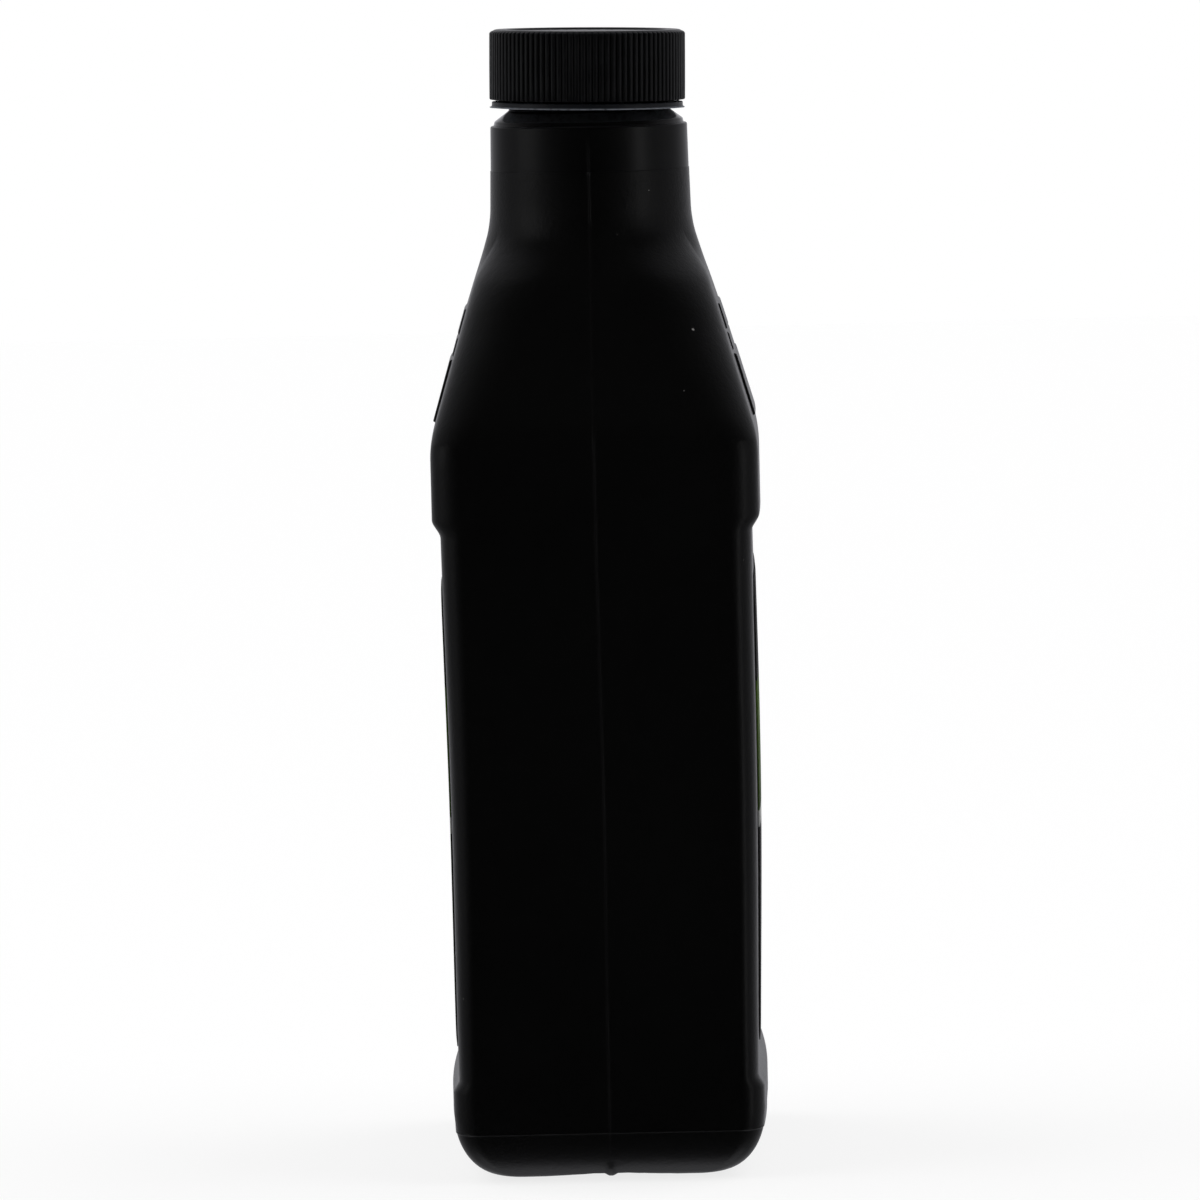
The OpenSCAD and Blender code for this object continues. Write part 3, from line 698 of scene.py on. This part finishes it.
blown, w, shader, place, (x, y, z) = finish("blown_black", IOR=1.5)
grained = 1 - z.above(INSERT_Z, 0.5)
fine = noise(w, place, 1.5, 4.0, 0.6)
broad = noise(w, place, 0.35, 3.0)
cloud = noise(w, place, 0.02, 2.0)
dust = specks(w, place, 0.085, 0.024, 0.6, 3.0) + specks(w, place, 0.2, 0.022, 0.16, 11.0)
marks = dust * (1 - abs(z - 120).above(110, 4))
turned = z.above(LEDGE_Z + 0.2, 0.2)
height = fine * grained * 0.055 + broad * grained * 0.06 + marks * 0.05
bump = w.node("Bump", values={"Strength": 1.0, "Distance": MM, "Height": height})
feed(shader,
     Base_Color=marks.math("MINIMUM", marks, 1.0).mix(cloud.mix(BODY_BLACK, grey(0.0022)), DUST),
     Roughness=0.3 + cloud * 0.06 + grained * fine * 0.08 + marks * 0.2 - turned * 0.12,
     Normal=bump)

# %% [markdown]
# The cap and its band are moulded polypropylene: a cooler black with a finer skin. The ribs'
# crests are painted a touch paler in patches, as a painted highlight. The band is paler all over, and
# whitish along its rough lower edge.

# %% The moulded cap plastic
# The second tint is the painted highlight on the rib crests.
CAP_TINT, CREST_HIGHLIGHT_TINT = (0.84, 0.95, 1.2), (0.88, 0.97, 1.14)
TORN = grey(0.16, (0.9, 0.97, 1.12))


def moulded_finish(name, black, crest_highlight, worn_edge):
    material, w, shader, place, (x, y, z) = finish(name, IOR=1.5)
    radius = (x * x + y * y).math("SQRT", x * x + y * y)
    crest = radius.above(cap_r - 0.12, 0.12)
    skin = noise(w, place, 0.8, 4.0)
    dust = specks(w, place, 0.22, 0.03, 0.25, 7.0)
    # Paler patches on the outermost rib crests: a painted highlight.
    painted_crest_highlight = crest * noise(w, place, 0.25).above(0.5, 0.3)
    low_edge = 1 - (z - y * TILT).above(band_low + 0.3, 0.3)
    edge = low_edge * noise(w, place, 0.9).above(0.4, 0.3) * worn_edge
    bump = w.node("Bump", values={"Strength": 1.0, "Distance": MM, "Height": skin * 0.03 + dust * 0.05})
    plastic = painted_crest_highlight.mix(grey(black, CAP_TINT), grey(crest_highlight, CREST_HIGHLIGHT_TINT))
    feed(shader,
         Base_Color=dust.mix(edge.mix(plastic, TORN), DUST),
         Roughness=0.34 + skin * 0.08 + painted_crest_highlight * 0.05 + edge * 0.2,
         Normal=bump)
    return material


moulded = moulded_finish("moulded_black", 0.0022, 0.0042, 0.0)
worn = moulded_finish("worn_black", 0.0085, 0.011, 1.0)

# %% [markdown]
# The label is a printed film. Its lettering and picture are left out, and plain fields of colour
# take their place: black, a dark green field that deepens downwards, a pale grey strip, and black
# again. A faint dot screen makes it read as print, and the film is matt.

# %% The printed film
FIELD_TOP, FIELD_LOW, STRIP_LOW = 101.6, 74.8, 71.4
SLANT_Z, SLANT = 88.0, 0.35
PANEL_HALF, PANEL_LOW, PANEL_TOP = 30.5, 33.0, 64.0
INK, PALE = grey(0.012), grey(0.33, (0.98, 1.0, 0.98))


def printed(name, side):
    film, w, shader, place, (x, y, z) = finish(name, IOR=1.48, Specular_IOR_Level=0.12)
    shade = z.node("MapRange", values={0: z, 1: FIELD_LOW, 2: FIELD_TOP})
    green = shade.mix((0.028, 0.055, 0.008, 1), (0.06, 0.115, 0.012, 1))
    slant = (z + x * SLANT * side).above(SLANT_Z, 0.1)
    green = (slant * 0.35).mix(green, (0.02, 0.04, 0.008, 1))
    in_field = z.above(FIELD_LOW, 0.05) * (1 - z.above(FIELD_TOP, 0.05))
    in_strip = z.above(STRIP_LOW, 0.05) * (1 - z.above(FIELD_LOW, 0.05))
    screen = w.node("TexVoronoi", values={"Vector": place, "Scale": 5.0})
    paper = noise(w, place, 0.6, 3.0)
    panel = (1 - abs(x).above(PANEL_HALF, 0.08)) * z.above(PANEL_LOW, 0.08) * (1 - z.above(PANEL_TOP, 0.08))
    ground = (panel * 0.8).mix(INK, grey(0.03))
    colour = in_strip.mix(in_field.mix(ground, green), PALE)
    colour = (screen * 0.12).mix(colour, grey(0.005))
    bump = w.node("Bump", values={"Strength": 1.0, "Distance": MM, "Height": paper * 0.012})
    feed(shader, Base_Color=colour, Roughness=0.6 + paper * 0.08, Normal=bump)
    return film


front_print, back_print = printed("front_print", 1), printed("back_print", -1)

# %% [markdown]
# Three finishes are hidden while the bottle is shut: the foil welded over the mouth, the foam
# liner in the cap, and the amber oil. They are still finished, because a viewer may lift the cap
# or cut the model open.

# %% Foil, foam and oil
foil, w, shader, place, (x, y, z) = finish("sealing_foil", Metallic=1.0)
creases = noise(w, place, 0.12, 5.0, 0.65)
emboss = w.node("TexVoronoi", values={"Vector": place, "Scale": 1.1})
bump = w.node("Bump", values={"Strength": 1.0, "Distance": MM, "Height": creases * 0.12 + emboss * 0.03})
feed(shader, Base_Color=creases.mix(grey(0.72), grey(0.82)), Roughness=0.25 + creases * 0.15, Normal=bump)

foam, w, shader, place, (x, y, z) = finish("liner_foam")
cells = w.node("TexVoronoi", values={"Vector": place, "Scale": 3.0})
soft = noise(w, place, 0.3)
bump = w.node("Bump", values={"Strength": 1.0, "Distance": MM, "Height": cells * 0.06})
foam_colour = soft.mix(grey(0.74, (1, 1, 0.96)), grey(0.82))
feed(shader, Base_Color=foam_colour, Roughness=0.7 + cells * 0.1, Normal=bump)

oil, w, shader, place, (x, y, z) = finish("amber_oil", IOR=1.47)
# The oil is painted darker towards the bottom and lighter at the top: painted shade.
oil_shade = z.node("MapRange", values={0: z, 1: 0.0, 2: 170.0})
haze = noise(w, place, 0.05)
amber = oil_shade.mix((0.26, 0.13, 0.015, 1), (0.47, 0.27, 0.05, 1))
feed(shader, Base_Color=amber, Roughness=0.05 + haze * 0.04)

# %% [markdown]
# Each mesh takes its finish, stands for its CAD piece and rides on that piece's body. The oil, the
# foil and the liner keep their CAD shapes, which are already exact, and only take a finish.

# %% Dressing the pieces
BLACK, CAP, LABEL = "bottle", "cap", "label"
pieces = [(bottle, blown, "bottle", "bottle_body", BLACK), (cap, moulded, "cap", "cap_body", CAP),
          (band, worn, "tamper_band", "bottle_body", CAP),
          (front, front_print, "front_label", "bottle_body", LABEL),
          (back, back_print, "back_label", "bottle_body", LABEL)]
for obj, material, node, body, slot in pieces:
    obj.data.materials.append(material)
    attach(obj, body)
    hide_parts(node)
for node, material in (("gear_oil", oil), ("foil_seal", foil), ("cap_liner", foam)):
    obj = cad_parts[node]
    obj.data.materials.clear()
    obj.data.materials.append(material)
print("dressed", len(pieces), "new pieces and 3 CAD pieces")

# %% [markdown]
# The floor is plain pale paint. The camera sees it almost white, with the bottle's own soft shadow
# kept in it: most of its colour comes from the Is Camera Ray mix, and the rest is ordinary lit
# paint. It is hidden from glossy rays, because the photograph's black front mirrors a dark studio
# and no floor.

# %% The floor
FLOOR_HALF = 3.0
mesh = bpy.data.meshes.new("floor")
corners = [(u * FLOOR_HALF, v * FLOOR_HALF, 0) for u, v in ((-1, -1), (1, -1), (1, 1), (-1, 1))]
mesh.from_pydata(corners, [], [(0, 1, 2, 3)])
floor = bpy.data.objects.new("floor", mesh)
bpy.context.collection.objects.link(floor)
floor.location.z = -0.0002
floor.visible_glossy = False
pale, w, shader, place, (x, y, z) = finish("pale_floor", Roughness=0.9)
shader.inputs["Base Color"].default_value = grey(0.94)
white = w.node("Emission", values={0: grey(1.0)})
seen = w.node("LightPath", out=0)
blend = w.node("MixShader", values={0: seen * 0.8, 1: Wire(w.tree, shader.outputs[0]), 2: white})
w.tree.links.new(blend.socket, w.tree.nodes["Material Output"].inputs[0])
floor.data.materials.append(pale)

# %% [markdown]
# The studio is dark on the camera's side and bright behind the bottle, with dim walls at the
# sides. That is why black plastic shows white rims, grey corners and a nearly black front. A
# colour ramp over the direction's x gives the level from front to back; the ceiling in front is
# darker still, and some light comes from straight below, as it does from a light table. The
# camera itself sees plain white.

# %% The studio's walls
world = bpy.data.worlds.new("studio")
bpy.context.scene.world = world
world.use_nodes = True
tree = world.node_tree
tree.nodes.clear()
w = Wire(tree)
direction = w.node("TexCoord", out=0)
dx, dy, dz = [w.node("SeparateXYZ", values={0: direction}, out=i) for i in range(3)]
LEVELS = ((-1, 0.004), (-0.93, 0.006), (-0.85, 0.025), (-0.54, 0.075), (-0.33, 0.09), (0.07, 0.12),
          (0.56, 0.14), (0.7, 0.24), (0.88, 0.34), (0.96, 0.7), (1, 1.0))
stops = [((a + 1) / 2, grey(b)) for a, b in LEVELS]
level = w.node("ValToRGB", {"stops": stops}, {0: dx * 0.5 + 0.5})
level = w.node("SeparateColor", values={0: level})
in_front = 1 - dx.above(0.2, 0.6)
ceiling = dz.above(0.4, 0.4) * in_front
below = (0 - dz).above(0.5, 0.5) * in_front
under_light = (0 - dz).above(0.85, 0.2) * dx.above(0.0, 0.24)
level = level * (1 - ceiling * 0.95) * (1 - below * 0.5) + under_light * 0.42
walls = w.node("Background", values={0: grey(1.0, (0.98, 0.98, 1.03)), 1: level})
plain = w.node("Background", values={0: grey(1.0), 1: 1.0})
both = w.node("MixShader", values={0: w.node("LightPath", out=0), 1: walls, 2: plain})
out = tree.nodes.new("ShaderNodeOutputWorld")
tree.links.new(both.socket, out.inputs[0])


# %% [markdown]
# Three wide soft lights give the plain level: one from above and one from each side. They are
# suns with a very large disc, so that they light the floor evenly however far it runs, and they
# are kept out of the reflections, as a polarising filter would keep them. Two lamps do show in the
# gloss: a narrow strip at the right, which draws the long highlight down the neck and the corner,
# and a dim panel at the left.

# %% The lamps
def aim(obj, place, target):
    obj.location = place
    obj.rotation_euler = (Vector(target) - Vector(place)).to_track_quat("-Z", "Y").to_euler()
    bpy.context.collection.objects.link(obj)
    return obj


def soft_sun(name, place, strength, disc):
    light = bpy.data.lights.new(name, "SUN")
    light.energy, light.angle = strength, math.radians(disc)
    obj = aim(bpy.data.objects.new(name, light), place, (0, 0, 0))
    obj.visible_glossy = False


def soft_box(name, place, target, width, height, watts):
    light = bpy.data.lights.new(name, "AREA")
    light.shape, light.size, light.size_y, light.energy = "RECTANGLE", width, height, watts
    aim(bpy.data.objects.new(name, light), place, target)


soft_sun("top_light", (0.2, 0, 1), 0.7, 90)
soft_sun("left_light", (0.1, 1, 0.85), 1.9, 70)
soft_sun("right_light", (0.1, -1, 0.85), 1.9, 70)
soft_box("right_strip", (-0.47, -0.88, 0.1), (0, 0, 0.12), 0.16, 1.0, 0.3)
soft_box("left_panel", (-0.25, 0.95, 0.5), (0, 0, 0.3), 0.5, 0.8, 0.3)

# %% [markdown]
# The camera stands 1.75 m away and a little above the cap, with a long lens, and is rolled by
# about a degree, as it was for the photograph. The distances and angles come from fitting the
# bottle's outline in the picture, which is 1200 pixels square.

# %% The camera
DISTANCE, EYE_Z, YAW, PITCH, ROLL, FOCAL_PX = 1.75, 0.27303, 0.6947, 5.1384, 1.3696, 8389.7
camera_data = bpy.data.cameras.new("camera")
camera_data.sensor_width = 36.0
camera_data.lens = 36.0 * FOCAL_PX / 1200
camera_data.clip_end = 50
camera = bpy.data.objects.new("camera", camera_data)
bpy.context.collection.objects.link(camera)
yaw, pitch, roll = (math.radians(v) for v in (YAW, PITCH, ROLL))
look = Matrix.Rotation(yaw - math.pi / 2, 4, "Z") @ Matrix.Rotation(math.pi / 2 - pitch, 4, "X")
turn_in_frame = Matrix.Rotation(-roll, 4, "Z")
spot = Matrix.Translation((-DISTANCE * math.cos(yaw), -DISTANCE * math.sin(yaw), EYE_Z))
camera.matrix_world = spot @ look @ turn_in_frame
bpy.context.scene.camera = camera
bpy.context.scene.view_settings.view_transform = "Standard"
print("lens in mm:", round(camera_data.lens, 1))
